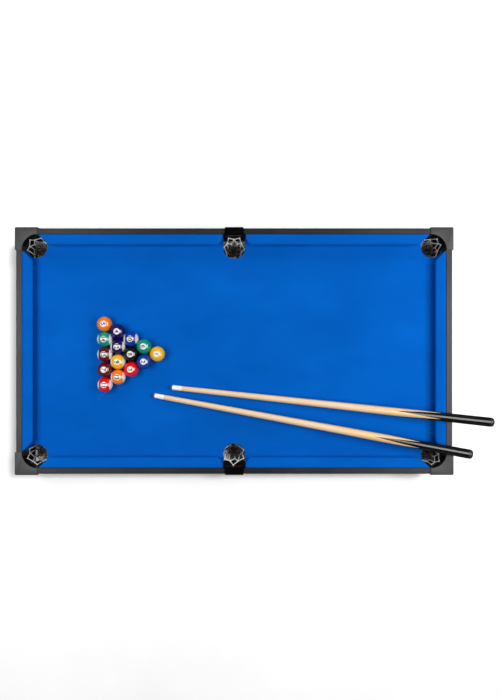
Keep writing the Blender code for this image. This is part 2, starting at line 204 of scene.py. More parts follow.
def fibreboard_material():
    made, tree, shader, where = start_material("raw_fibreboard", Specular_IOR_Level=0.2)
    fibres = noise(tree, where, (260.0, 420.0, 900.0), 8.0)
    cloud = noise(tree, where, 14.0, 3.0)
    stops = ((0.45, (0.16, 0.095, 0.048)), (0.67, (0.27, 0.175, 0.098)), (0.90, (0.36, 0.25, 0.15)))
    feed(shader, "Base Color", ramp(tree, weighted(tree, cloud, 0.35, fibres), stops))
    feed(shader, "Roughness", spread(tree, fibres, 0.75, 0.95))
    bump(tree, shader, fibres, 0.0003, 0.6)
    return made


TWINE_LAY = 3.2 * MM  # length of one turn of its plies
TWINE_PLIES = 3.0
# Painted shade: the twine darkens with depth towards the net's bottom, which lies in the pocket's shade.
UNSHADED_DROP = 13 * MM  # below the bed's top: above this the twine has no painted shade
FULL_SHADE_DROP = 38 * MM  # and below this it takes the painted shade's full colour
SHADED_TWINE_COLOUR = (0.080, 0.066, 0.050)


def twine_material():
    """Twisted cotton twine, with painted shade between its plies and towards the net's bottom; u runs along
    it in metres, v once round it.
    """
    made, tree, shader, where = start_material("net_twine", Roughness=0.9, Specular_IOR_Level=0.2)
    uv = node(tree, "ShaderNodeUVMap", uv_map="strand").outputs[0]
    turns = weighted(tree, component(tree, uv, 0), 1 / TWINE_LAY)
    plies = weighted(tree, component(tree, uv, 1), TWINE_PLIES, turns)
    ridge = node(tree, "ShaderNodeMath", {0: weighted(tree, plies, math.tau)}, operation="SINE").outputs[0]
    fuzz = noise(tree, where, 1500.0)
    grime = noise(tree, where, 60.0, 3.0)
    # Painted shade: the ply ridge darkens the colour in the grooves between the plies; the grime noise
    # varies the tone at random.
    stops = ((0.25, (0.80, 0.76, 0.70)), (0.50, (0.92, 0.90, 0.86)), (0.70, (0.97, 0.96, 0.94)))
    cotton = ramp(tree, weighted(tree, ridge, 0.16, grime), stops)
    # Painted shade: the twine's colour darkens with depth down the net.
    lit_share = smooth_step(tree, component(tree, where, 2), BED_TOP - FULL_SHADE_DROP, BED_TOP - UNSHADED_DROP)
    colours = {0: lit_share, 6: (*SHADED_TWINE_COLOUR, 1.0), 7: cotton}  # a colour mix's factor and its two colours
    feed(shader, "Base Color", node(tree, "ShaderNodeMix", colours, data_type="RGBA").outputs[2])
    bump(tree, shader, weighted(tree, fuzz, 0.5, ridge), 0.0002, 0.8)
    return made


WARM_START, WARM_END = 0.48, 0.60  # stations along a cue between which its wood turns yellower
WARM_SHIFT = (0.02, -0.04, -0.20)


def maple_material():
    """Lacquered pale hardwood; the cue's own Z runs along the grain."""
    made, tree, shader, where = start_material("maple", Coat_Weight=0.25, Coat_Roughness=0.15)
    rings = noise(tree, where, (160.0, 160.0, 2.2), 5.0)
    pores = noise(tree, where, (1500.0, 1500.0, 28.0), 4.0)
    stops = ((0.45, (0.60, 0.365, 0.150)), (0.62, (0.74, 0.510, 0.285)), (0.80, (0.82, 0.615, 0.405)))
    wood = ramp(tree, weighted(tree, pores, 0.35, rings), stops)
    warmth = smooth_step(tree, component(tree, where, 2), WARM_START, WARM_END)
    shift = node(tree, "ShaderNodeVectorMath", {0: WARM_SHIFT, "Scale": warmth}, operation="SCALE")
    tint = node(tree, "ShaderNodeVectorMath", {0: shift.outputs[0], 1: (1.0, 1.0, 1.0)}, operation="ADD")
    warmed = node(tree, "ShaderNodeVectorMath", {0: wood, 1: tint.outputs[0]}, operation="MULTIPLY")
    feed(shader, "Base Color", warmed.outputs[0])
    feed(shader, "Roughness", spread(tree, pores, 0.28, 0.42))
    bump(tree, shader, pores, 0.00006, 0.5)
    return made


POOL_COLOURS = {  # of balls 1 to 8 in turn, then of the circles and the striped balls' ends
    "yellow": ((0.88, 0.410, 0.001), (0.94, 0.480, 0.002)),
    "blue": ((0.0004, 0.032, 0.270), (0.0008, 0.042, 0.340)),
    "red": ((0.66, 0.001, 0.001), (0.77, 0.003, 0.002)),
    "purple": ((0.006, 0.0003, 0.075), (0.010, 0.0006, 0.105)),
    "orange": ((0.84, 0.172, 0.004), (0.91, 0.220, 0.008)),
    "green": ((0.0005, 0.235, 0.150), (0.001, 0.285, 0.185)),
    "maroon": ((0.100, 0.0005, 0.002), (0.135, 0.001, 0.004)),
    "black": ((0.0006, 0.0006, 0.0007), (0.0012, 0.0012, 0.0014)),
    "white": ((0.76, 0.75, 0.73), (0.83, 0.82, 0.80)),
}
MOTTLED = {  # name, dark, light, coarse and fine noise, roughness range, relief, other sockets
    "cap": (
        "grey_moulded_plastic", (0.030, 0.0305, 0.032), (0.039, 0.0395, 0.041),
        22.0, 2600.0, (0.42, 0.56), 0.00012, {"Specular_IOR_Level": 0.38},
    ),
    "liner": (
        "black_moulded_plastic", (0.0006, 0.0006, 0.0006), (0.0012, 0.0012, 0.0013),
        25.0, 1900.0, (0.30, 0.42), 0.00006, {"Specular_IOR_Level": 0.06},
    ),
    "foot": (
        "foot_plastic", (0.008, 0.008, 0.008), (0.014, 0.014, 0.015),
        60.0, 2200.0, (0.55, 0.72), 0.0001, {},
    ),
    "steel": (
        "zinc_plated_steel", (0.50, 0.50, 0.49), (0.62, 0.62, 0.60),
        240.0, 900.0, (0.28, 0.45), 0.00003, {"Metallic": 1.0},
    ),
    "leather": (
        "pressed_leather", (0.15, 0.062, 0.026), (0.30, 0.145, 0.070),
        500.0, 2600.0, (0.80, 0.95), 0.0002, {},
    ),
    "ferrule": (
        "white_ferrule", (0.81, 0.82, 0.81), (0.88, 0.89, 0.88),
        90.0, 1200.0, (0.26, 0.36), 0.00002, {},
    ),
    "lacquer": (
        "black_lacquer", (0.0010, 0.0010, 0.0011), (0.0020, 0.0020, 0.0022),
        40.0, (500.0, 500.0, 90.0), (0.14, 0.24), 0.00003, {},
    ),
    "rubber": (
        "bumper_rubber", (0.010, 0.010, 0.010), (0.019, 0.019, 0.020),
        160.0, 1800.0, (0.30, 0.42), 0.00008, {},
    ),
    "ball ink": (
        "ball_ink", (0.006, 0.006, 0.006), (0.012, 0.012, 0.012),
        400.0, 900.0, (0.08, 0.16), 0.000004, {},
    ),
}


def make_materials():
    looks = {
        "felt": felt_material(),
        "laminate along x": laminate_material("film_grain_along_x", (9.0, 900.0, 900.0)),
        "laminate along y": laminate_material("film_grain_along_y", (900.0, 9.0, 900.0)),
        "fibreboard": fibreboard_material(),
        "twine": twine_material(),
        "maple": maple_material(),
    }
    for look, (*values, sockets) in MOTTLED.items():
        looks[look] = mottled(*values, **sockets)
    for colour, shades in POOL_COLOURS.items():
        looks[f"ball {colour}"] = mottled(f"ball_{colour}", *shades, 70.0, 260.0, (0.05, 0.10), 0.000004)
    return looks


LOOKS = make_materials()


# --- mesh helpers


def new_object(name, data):
    made = bpy.data.objects.new(name, data)
    bpy.context.scene.collection.objects.link(made)
    return made


def new_mesh(name, bm):
    mesh = bpy.data.meshes.new(name)
    bm.to_mesh(mesh)
    bm.free()
    return mesh


def add_piece(name, bm, body, looks, stands_for=(), matrix=None, sharp=40.0):
    """Links a finished mesh, rides it on its body, and hides the CAD nodes it stands for."""
    mesh = new_mesh(name, bm)
    for look in looks:
        mesh.materials.append(LOOKS[look])
    mesh.shade_smooth()
    mesh.set_sharp_from_angle(angle=math.radians(sharp))
    obj = new_object(name, mesh)
    if matrix is not None:
        obj.matrix_world = matrix
    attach(obj, body)
    if stands_for:
        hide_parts(*stands_for)
    return obj


def bridge(bm, low, high, closed=True):
    """Quads between two matching rows of vertices."""
    count = len(low)
    made = []
    for i in range(count if closed else count - 1):
        following = (i + 1) % count
        made.append(bm.faces.new((low[i], low[following], high[following], high[i])))
    return made


def loft(bm, rings):
    """A closed skin through matching rings of points, its faces turned outwards."""
    rows = [[bm.verts.new(point) for point in ring] for ring in rings]
    for low, high in zip(rows, rows[1:]):
        bridge(bm, low, high)
    bm.faces.new(reversed(rows[0]))
    bm.faces.new(rows[-1])
    bmesh.ops.recalc_face_normals(bm, faces=bm.faces)


def arc(centre, radius, start, end, steps):
    angles = [start + (end - start) * i / steps for i in range(steps + 1)]
    return [(centre[0] + radius * math.cos(a), centre[1] + radius * math.sin(a)) for a in angles]


def prism(outline, low, high):
    bm = bmesh.new()
    loft(bm, [[(x, y, z) for x, y in outline] for z in (low, high)])
    return bm


def tube(bm, points, radius, sides, uv_layer):
    """A round strand along points; its UVs run along it in metres and once round it."""
    rows, lengths, travelled = [], [], 0.0
    turns = [math.tau * k / sides for k in range(sides)]
    side = None
    for i, point in enumerate(points):
        before = points[max(i - 1, 0)]
        after = points[min(i + 1, len(points) - 1)]
        along = (after - before).normalized()
        if side is None:
            side = along.orthogonal().normalized()
        side = (side - along * side.dot(along)).normalized()
        other = along.cross(side)
        if i:
            travelled += (point - points[i - 1]).length
        lengths.append(travelled)
        ring = [point + (side * math.cos(a) + other * math.sin(a)) * radius for a in turns]
        rows.append([bm.verts.new(place) for place in ring])
    for i in range(len(points) - 1):
        start, end = lengths[i], lengths[i + 1]
        for k, face in enumerate(bridge(bm, rows[i], rows[i + 1])):
            corners = ((start, k), (start, k + 1), (end, k + 1), (end, k))
            for loop, (u, v) in zip(face.loops, corners):
                loop[uv_layer].uv = (u, v / sides)
    bm.faces.new(reversed(rows[0]))
    bm.faces.new(rows[-1])


def lump(bm, centre, size, rng):
    """A small pulled-tight knot, longer one way than the others."""
    angle = rng.uniform(0, math.tau)
    axis = Vector((rng.random(), rng.random(), 1.0)).normalized()
    stretch = Matrix.Diagonal((1.25, 1.0, 0.85, 1.0))
    matrix = Matrix.Translation(centre) @ Matrix.Rotation(angle, 4, axis) @ stretch
    bmesh.ops.create_icosphere(bm, subdivisions=2, radius=size, matrix=matrix)


# --- bed cloth


CLOTH_ROUND = 2 * MM  # how the cloth turns over the panel's edge at a pocket
CLOTH_TURN_DOWN = 11 * MM
CLOTH_CLEAR = 0.4 * MM  # the turned cloth stands this far inside the panel's hole
CLOTH_EDGE = 0.4 * MM  # from the cloth's cut edge to the boards
CLOTH_THICKNESS = 0.45 * MM


def pocket_places():
    """Each pocket's centre, from its net."""
    places = {}
    for name in [*CORNERS, *(f"{side}_middle" for side in SIDES)]:
        low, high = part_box(f"pocket_net_{name}")
        places[name] = (low + high) / 2
    return places


POCKETS = pocket_places()
NOTCH_RADIUS = 31 * MM
NOTCH_END = math.radians(23)  # how far a corner's notch runs on past its quarter


def notch_rows(name):
    """Rings of points where the cloth turns down into a pocket, from the top's edge to the cut edge."""
    centre = POCKETS[name]
    if name in CORNERS:
        sx, sy = CORNERS[name]
        start, end = -NOTCH_END, math.pi / 2 + NOTCH_END - math.tau
        steps = 56
    else:
        sx, sy = 1, SIDES[name.split("_")[0]]
        start, end = 0.0, -math.pi
        steps = 40
    inner = NOTCH_RADIUS - CLOTH_CLEAR
    rows = []
    round_steps = 5
    for step in range(round_steps + 1):
        angle = math.pi / 2 * step / round_steps
        radius = inner + CLOTH_ROUND * (1 - math.sin(angle))
        height = BED_TOP - CLOTH_ROUND * (1 - math.cos(angle))
        rows.append((radius, height))
    rows += [(inner, BED_TOP - CLOTH_ROUND - 4 * MM), (inner, BED_TOP - CLOTH_TURN_DOWN)]
    made = []
    for radius, height in rows:
        plan = arc((0, 0), radius, start, end, steps)
        if name not in CORNERS:
            to_board = HALF_WIDTH - BOARD_THICKNESS - CLOTH_EDGE - abs(centre.y)
            plan = [(radius, to_board), *plan, (-radius, to_board)]
        made.append([(centre.x + sx * x, centre.y + sy * y, height) for x, y in plan])
    return made


def make_bed_cloth():
    """One sheet glued on the panel, its edge turned down into each pocket."""
    bm = bmesh.new()
    half_x = HALF_LENGTH - BOARD_THICKNESS - CLOTH_EDGE
    half_y = HALF_WIDTH - BOARD_THICKNESS - CLOTH_EDGE
    route = ("back_right", "back_middle", "back_left", "front_left", "front_middle", "front_right")
    forward = ("back_right", "back_middle", "front_left")
    loop = []
    for name in route:
        rows = notch_rows(name)
        if name not in forward:
            rows = [row[::-1] for row in rows]
        ordered = [[bm.verts.new(point) for point in row] for row in rows]
        for low, high in zip(ordered, ordered[1:]):
            bridge(bm, low, high, closed=False)
        row = ordered[0]
        if name not in CORNERS:
            loop += row
            continue
        sx, sy = CORNERS[name]
        ends = []
        for point in (row[0].co, row[-1].co):
            by_end_board = abs(abs(point.x - CENTRE_X) - half_x) < abs(abs(point.y) - half_y)
            ends.append((CENTRE_X + sx * half_x, point.y) if by_end_board else (point.x, sy * half_y))
        loop += [bm.verts.new((*ends[0], BED_TOP)), *row, bm.verts.new((*ends[1], BED_TOP))]
    bm.faces.new(loop)
    bm.normal_update()
    bmesh.ops.triangulate(bm, faces=[f for f in bm.faces if len(f.verts) > 4])
    bmesh.ops.recalc_face_normals(bm, faces=bm.faces)
    top = max(bm.faces, key=lambda face: face.calc_area())
    if top.normal.z < 0:
        bmesh.ops.reverse_faces(bm, faces=bm.faces)
    area = sum(face.calc_area() for face in bm.faces)
    cloth = add_piece("bed_cloth_sheet", bm, "table", ["felt"], ["bed_cloth"], sharp=60.0)
    solid = cloth.modifiers.new("cloth thickness", "SOLIDIFY")
    solid.thickness = CLOTH_THICKNESS
    solid.offset = -1.0


# --- cushions


CUSHION_NOSE = 28.7 * MM  # from the board
CORNER_START = 60.5 * MM  # from the frame's outside to a mitred end, at the board
SIDE_START = 32 * MM  # from the table's middle to the end beside a side pocket, at the board
SIDE_CURVE_START = 4 * MM
SIDE_CURVE = 29 * MM
END_ROUND = 2.6 * MM
END_STEPS = 5
NOSE_CORNER_ROUND = 13 * MM
LENGTH_STEPS = 24


def cushion_profile():
    """(distance from the board, height above the bed) round a cushion, from its foot by the board."""
    points = [(0.3, 0.6), (0.3, 17.0), (0.35, 32.6), (0.7, 33.9), (1.4, 34.7), (2.4, 35.0), (5.0, 35.15)]
    points += [(8.5, 34.95), (12.0, 34.3), (16.5, 33.15), (20.5, 32.05), (24.2, 30.9)]
    points += [(25.8, 30.2), (27.1, 29.4), (28.0, 28.4), (28.6, 27.2), (28.6, 26.0), (28.1, 24.8)]
    points += [(26.3, 21.7), (22.0, 14.9), (17.6, 7.6), (15.2, 2.6), (14.5, 1.1), (13.6, 0.6)]
    return [(d * MM, z * MM) for d, z in points]


def corner_end(d):
    """How far a mitred end lies beyond its start, at distance d from the board."""
    tangent = CUSHION_NOSE - NOSE_CORNER_ROUND * (1 - math.cos(math.radians(45)))
    if d <= tangent:
        return d
    reach = CUSHION_NOSE + NOSE_CORNER_ROUND * math.tan(math.radians(22.5))
    centre = CUSHION_NOSE - NOSE_CORNER_ROUND
    return reach - math.sqrt(max(NOSE_CORNER_ROUND**2 - (d - centre) ** 2, 0.0))


def side_end(d):
    """The same for an end beside a side pocket: square by the board, then curving away to the nose."""
    over = max(d - SIDE_CURVE_START, 0.0)
    return SIDE_CURVE - math.sqrt(SIDE_CURVE**2 - over**2)


def shrunk(profile, inset):
    """The profile drawn in towards its middle by inset."""
    middle = Vector((12 * MM, 18 * MM))
    made = []
    for d, z in profile:
        point = Vector((d, z))
        inwards = middle - point
        step = min(inset, inwards.length * 0.5)
        moved = point + inwards.normalized() * step
        made.append((moved.x, max(moved.y, z if z < 1 * MM else 0.6 * MM)))
    return made


def end_rings(at, inwards, shape):
    """Rings of (x, d, z) that round a cushion over at one end, from its tip; inwards is 1 or -1 along x."""
    rings = []
    for step in range(END_STEPS + 1):
        angle = math.pi / 2 * step / END_STEPS
        profile = shrunk(cushion_profile(), END_ROUND * (1 - math.sin(angle)))
        ahead = END_ROUND * (1 - math.cos(angle))
        rings.append([(at + inwards * (shape(d) + ahead), d, z) for d, z in profile])
    return rings


def cushion_rings(start, end, start_shape, end_shape):
    """Rings of (x, d, z) along a cushion, rounded over at both ends."""
    first = end_rings(start, 1, start_shape)
    last = end_rings(end, -1, end_shape)
    between = []
    for i in range(1, LENGTH_STEPS):
        pairs = zip(first[-1], last[-1])
        between.append([(a[0] + (b[0] - a[0]) * i / LENGTH_STEPS, a[1], a[2]) for a, b in pairs])
    return first + between + last[::-1]


def make_cushions():
    corner_x = HALF_LENGTH - CORNER_START
    corner_y = HALF_WIDTH - CORNER_START
    inner_x = HALF_LENGTH - BOARD_THICKNESS
    inner_y = HALF_WIDTH - BOARD_THICKNESS
    quarter = math.pi / 2
    rails = (
        ("front_left", -corner_x, -SIDE_START, corner_end, side_end, 0.0, (0.0, -inner_y)),
        ("front_right", SIDE_START, corner_x, side_end, corner_end, 0.0, (0.0, -inner_y)),
        ("right", -corner_y, corner_y, corner_end, corner_end, quarter, (inner_x, 0.0)),
        ("back_right", -corner_x, -SIDE_START, corner_end, side_end, math.pi, (0.0, inner_y)),
        ("back_left", SIDE_START, corner_x, side_end, corner_end, math.pi, (0.0, inner_y)),
        ("left", -corner_y, corner_y, corner_end, corner_end, -quarter, (-inner_x, 0.0)),
    )
    for name, start, end, start_shape, end_shape, angle, offset in rails:
        bm = bmesh.new()
        loft(bm, cushion_rings(start, end, start_shape, end_shape))
        place = Matrix.Translation((CENTRE_X + offset[0], offset[1], BED_TOP))
        bm.transform(place @ Matrix.Rotation(angle, 4, "Z"))
        node_name = f"cushion_{name}"
        cushion = add_piece(f"{node_name}_covered", bm, "table", ["felt"], [node_name], sharp=75.0)


# --- caps and liners


CAP_SIZE = 60.5 * MM  # along each board, from the frame's outer corner
CAP_OUT = 2.5 * MM  # the lip stands this far outside the frame
CAP_ARC = 44 * MM
CAP_CORNER_ROUND = 3.5 * MM
MOULDED_ROUND = 1.1 * MM
FIT = 0.3 * MM  # clearance between a moulding and the boards
CAP_LOW, CAP_TOP = (end.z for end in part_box("corner_cap_back_right"))
PLATE_LOW = RAIL_TOP + FIT
WALL_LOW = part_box("pocket_liner_back_right")[0].z
LINER_WALL = 2.5 * MM
SADDLE_REACH = 4 * MM  # how far a side saddle's middle reaches in past the board
SIDE_ARC = 120 * MM
SIDE_OUTER_HALF, SIDE_INNER_HALF = 26.2 * MM, 28.2 * MM  # half a side liner's length outside and inside


def union(obj, bm, name):
    """Joins a second solid to a piece with a Boolean."""
    other = new_object(name, new_mesh(name, bm))
    joined = obj.modifiers.new(name, "BOOLEAN")
    joined.operation = "UNION"
    joined.solver = "EXACT"
    joined.object = other
    return other


def soften(obj):
    bevel = obj.modifiers.new("moulded edges", "BEVEL")
    bevel.width = MOULDED_ROUND
    bevel.segments = 3
    bevel.limit_method = "ANGLE"
    bevel.angle_limit = math.radians(50)


def settle(obj, helpers):
    """Applies a piece's modifiers and removes the solids that shaped it."""
    graph = bpy.context.evaluated_depsgraph_get()
    finished = bpy.data.meshes.new_from_object(obj.evaluated_get(graph))
    obj.modifiers.clear()
    obj.data = finished
    for helper in helpers:
        bpy.data.objects.remove(helper, do_unlink=True)
    obj.data.shade_smooth()
    obj.data.set_sharp_from_angle(angle=math.radians(35))


def moulding(name, layers, to_table, look, stands_for):
    """A moulding from plan outlines with their heights, joined into one and its edges rounded."""
    solids = [prism([to_table(u, v) for u, v in outline], low, high) for outline, low, high in layers]
    obj = add_piece(name, solids[0], "table", [look], stands_for)
    helpers = [union(obj, solid, f"{name}_{i}") for i, solid in enumerate(solids[1:])]
    soften(obj)
    settle(obj, helpers)


def corner_cap_outlines():
    """Plans of plate and lip, measured inwards from the frame's outer corner."""
    r = CAP_CORNER_ROUND
    outer = arc((r - CAP_OUT, r - CAP_OUT), r, -math.pi, -math.pi / 2, 8)
    plate = outer + [(CAP_SIZE, -CAP_OUT)]
    plate += arc((CAP_SIZE, CAP_SIZE), CAP_ARC, -math.pi / 2, -math.pi, 40)
    plate += [(-CAP_OUT, CAP_SIZE)]
    lip = outer + [(CAP_SIZE, -CAP_OUT), (CAP_SIZE, -FIT), (-FIT, -FIT)]
    lip += [(-FIT, CAP_SIZE), (-CAP_OUT, CAP_SIZE)]
    return plate, lip


def corner_liner_wall(name, to_table):
    """The pocket wall round a corner: a curved skirt with a rounded foot and a moulded rib."""
    first = -math.pi / 2 - math.radians(17)
    last = -math.pi + math.radians(17)
    profile = [(0.1, 0.0), (0.1, -17.0), (-0.7, -18.0), (-0.7, -19.6), (0.1, -20.6)]  # mm: out, up
    profile += [(0.1, -49.2), (0.5, -49.9), (2.2, -49.9), (2.6, -49.2), (2.6, 0.0)]
    steps = 32
    rings = []
    for step in range(steps + 1):
        angle = first + (last - first) * step / steps
        ring = []
        for out, up in profile:
            radius = CAP_ARC + out * MM
            u, v = CAP_SIZE + radius * math.cos(angle), CAP_SIZE + radius * math.sin(angle)
            ring.append((*to_table(u, v), RAIL_TOP + up * MM))
        rings.append(ring)
    bm = bmesh.new()
    loft(bm, rings)
    return add_piece(f"{name}_wall", bm, "table", ["liner"], [name])


def corner_liner_flange(name, to_table, wall):
    """Joins the flange that lies under the cap to the wall."""
    inner = BOARD_THICKNESS + FIT
    radius = CAP_ARC + 0.1 * MM
    flange = arc((CAP_SIZE, CAP_SIZE), radius, -math.pi / 2 - math.radians(12), -math.radians(168), 24)
    flange += [(inner, flange[-1][1]), (inner, inner), (flange[0][0], inner)]
    bm = prism([to_table(u, v) for u, v in flange], RAIL_TOP - 2.5 * MM, RAIL_TOP)
    settle(wall, [union(wall, bm, f"{name}_flange")])


def side_liner_outlines():
    """Plans of saddle, lip and wall: u along the rail, v inwards from the outer face."""
    centre = (0.0, BOARD_THICKNESS + SADDLE_REACH + SIDE_ARC)
    half_angle = math.asin(SIDE_INNER_HALF / SIDE_ARC)
    first, last = -math.pi / 2 + half_angle, -math.pi / 2 - half_angle
    r = 3 * MM
    outer = arc((-SIDE_OUTER_HALF + r, -CAP_OUT + r), r, -math.pi, -math.pi / 2, 6)
    outer += arc((SIDE_OUTER_HALF - r, -CAP_OUT + r), r, -math.pi / 2, 0.0, 6)
    saddle = outer + arc(centre, SIDE_ARC, first, last, 20)
    lip = outer + [(SIDE_OUTER_HALF, -FIT), (-SIDE_OUTER_HALF, -FIT)]
    wall = arc(centre, SIDE_ARC + 0.1 * MM, first, last, 20)
    wall += arc(centre, SIDE_ARC + LINER_WALL, last, first, 20)
    return saddle, lip, wall


def make_pocket_mouldings():
    inside_plate = (PLATE_LOW + CAP_TOP) / 2
    for name, (sx, sy) in CORNERS.items():

        def to_corner(u, v, sx=sx, sy=sy):
            return CENTRE_X + sx * (HALF_LENGTH - u), sy * (HALF_WIDTH - v)

        plate, lip = corner_cap_outlines()
        layers = ((plate, PLATE_LOW, CAP_TOP), (lip, CAP_LOW, inside_plate))
        cap = f"corner_cap_{name}"
        moulding(f"{cap}_moulded", layers, to_corner, "cap", [cap])
        wall = corner_liner_wall(f"pocket_liner_{name}", to_corner)
        corner_liner_flange(f"pocket_liner_{name}", to_corner, wall)
    for side, sy in SIDES.items():

        def to_side(u, v, sy=sy):
            return CENTRE_X + u, sy * (HALF_WIDTH - v)

        saddle, lip, wall = side_liner_outlines()
        layers = ((saddle, PLATE_LOW, CAP_TOP), (lip, CAP_LOW, inside_plate))
        layers += ((wall, WALL_LOW, inside_plate),)
        name = f"pocket_liner_{side}_middle"
        moulding(f"{name}_moulded", layers, to_side, "liner", [name])


# --- nets


NET_COLUMNS = 6
NET_RADIUS = 29.2 * MM
# Radius and drop of each row of knots, mm
NET_ROWS = ((29.2, 0.0), (25.0, 11.0), (19.0, 23.0), (12.5, 34.0), (6.5, 43.0), (2.6, 49.0))
NET_BELOW = 1.6 * MM  # the inner loops lie this much below the CAD net's top
NET_HUNG = {"corner": 30 * MM, "middle": 34 * MM}  # and the outer ones this much higher, on the liner
NET_RISE = {"corner": 1.5, "middle": 0.5}  # how suddenly it rises there: lower is sooner
HUNG_DEPTH = 45 * MM  # the rise has faded out this far down the net
NET_UNDER_PANEL = 3.5 * MM  # the inner loops are stapled this far out under the panel
UNDER_DEPTH = 20 * MM  # and this has faded out this far down
NET_TURN = {"front_middle": 0.5, "back_middle": 0.0}  # in diamonds, for the nets seen most squarely
TWINE_RADIUS = 1.2 * MM
TWINE_CLEAR = 1.4 * MM  # from the liner's wall to the twine's middle
LOOSE_RADIUS = 0.9 * MM
LOOSE_LOOPS = 6


def net_strand(bm, uv_layer, start, end, slack, steps=6, radius=TWINE_RADIUS):
    """Twine from knot to knot, bowed sideways and down by its slack."""
    points = [start.lerp(end, i / steps) + slack * math.sin(math.pi * i / steps) for i in range(steps + 1)]
    tube(bm, points, radius, 7, uv_layer)


def net_place(name):
    """The pocket's centre, the way out of the table, the liner wall's centre and radius, and the kind."""
    middle = POCKETS[name]
    if name in CORNERS:
        sx, sy = CORNERS[name]
        corner = Vector((CENTRE_X + sx * HALF_LENGTH, sy * HALF_WIDTH, 0))
        wall = corner - Vector((sx, sy, 0)) * CAP_SIZE
        return middle, Vector((sx, sy, 0)).normalized(), wall, CAP_ARC, "corner"
    sy = SIDES[name.split("_")[0]]
    wall = Vector((CENTRE_X, sy * (HALF_WIDTH - BOARD_THICKNESS - SADDLE_REACH - SIDE_ARC), 0))
    return middle, Vector((0, sy, 0)), wall, SIDE_ARC, "middle"


def make_net(name, seed):
    """A knotted diamond mesh, its top loops stapled under the panel and on the liner, bunched below."""
    rng = random.Random(seed)
    middle, outwards, wall, wall_radius, kind = net_place(name)
    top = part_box(f"pocket_net_{name}")[1].z - NET_BELOW

    def spot(angle, radius, drop):
        """A point of the net: inside the liner's wall, and higher on the outer side."""
        way = Vector((math.cos(angle), math.sin(angle), 0))
        outer = max(way.dot(outwards), 0.0) ** NET_RISE[kind]
        height = top - drop + NET_HUNG[kind] * outer * max(0.0, 1 - drop / HUNG_DEPTH)
        if height > WALL_LOW - 2 * MM:
            apart = Vector((wall.x - middle.x, wall.y - middle.y, 0))
            clear = wall_radius - TWINE_CLEAR
            reach = way.dot(apart) + math.sqrt(way.dot(apart) ** 2 - apart.length_squared + clear**2)
            radius = min(radius, reach)
        inner = max(-way.dot(outwards), 0.0) ** 0.5
        radius += NET_UNDER_PANEL * inner * max(0.0, 1 - drop / UNDER_DEPTH)
        return Vector((middle.x, middle.y, 0)) + way * radius + Vector((0, 0, height))

    shift = NET_TURN.get(name, rng.uniform(0, 1))
    knots = []
    for row, (radius, drop) in enumerate(NET_ROWS):
        loose = min(row, 3) * 1.2 * MM
        line = []
        for column in range(NET_COLUMNS):
            angle = math.tau * (column + shift + row % 2 / 2 + rng.uniform(-0.2, 0.2)) / NET_COLUMNS
            reach = min(radius * MM - rng.uniform(0.0, 1.5) * loose, NET_RADIUS)
            line.append(spot(angle, reach, drop * MM + rng.uniform(-0.9, 0.9) * loose))
        knots.append(line)
    bm = bmesh.new()
    uv_layer = bm.loops.layers.uv.new("strand")
    for row in range(len(NET_ROWS) - 1):
        for column in range(NET_COLUMNS):
            start = knots[row][column]
            other = (column + (1 if row % 2 else -1)) % NET_COLUMNS
            for end in (knots[row + 1][column], knots[row + 1][other]):
                bow = Vector((rng.uniform(-1, 1), rng.uniform(-1, 1), rng.uniform(-1.0, -0.2)))
                bow -= Vector((start.x - middle.x, start.y - middle.y, 0)).normalized() * 0.6
                net_strand(bm, uv_layer, start, end, bow * (0.4 + 0.7 * row) * MM)
            lump(bm, start, TWINE_RADIUS * 1.6, rng)
    lowest = top - NET_ROWS[-1][1] * MM
    for _ in range(LOOSE_LOOPS):
        turn = rng.uniform(0, math.tau)
        reach = rng.uniform(5, 22) * MM
        height = lowest + (5 + 0.35 * reach / MM + rng.uniform(0, 4)) * MM
        start = Vector((middle.x + reach * math.cos(turn), middle.y + reach * math.sin(turn), height))
        turn += rng.uniform(0.8, 2.2)
        end = Vector((middle.x + reach * math.cos(turn), middle.y + reach * math.sin(turn), height))
        end.z -= 2 * MM
        bow = Vector((rng.uniform(-5, 5), rng.uniform(-5, 5), 3)) * MM
        net_strand(bm, uv_layer, start, end, bow, 8, LOOSE_RADIUS)
    lump(bm, Vector((middle.x, middle.y, lowest - 1.5 * MM)), 3.2 * MM, rng)
    node_name = f"pocket_net_{name}"
    add_piece(f"{node_name}_twine", bm, "table", ["twine"], [node_name], sharp=80.0)


# --- balls


RESIN = bpy.data.collections.new("resin balls")
BALL_COLOURS = list(POOL_COLOURS)[:8]  # ball 9 is the striped 1, and so on
STRIPE_HALF = 0.69  # of the radius
CIRCLE_ANGLE = math.radians(24.5)
CIRCLE_STEPS, BELT_STEPS = 6, 28
BALL_SIDES = 64
DIGIT_HEIGHT = 12 * MM
CAPITAL_SHARE = 0.72  # of the typeface's size that a digit's height takes up
INK_ABOVE, INK_BELOW = 0.03 * MM, 0.25 * MM  # the digits' top and bottom, from the ball's surface
BAR_SIZE = (5.6 * MM, 1.2 * MM, 0.2 * MM)  # the line under a 6 or a 9
BAR_DOWN = 7.1 * MM
WRAP_STEP = 1.05 * MM  # the digits are cut up this finely, to bend round the ball


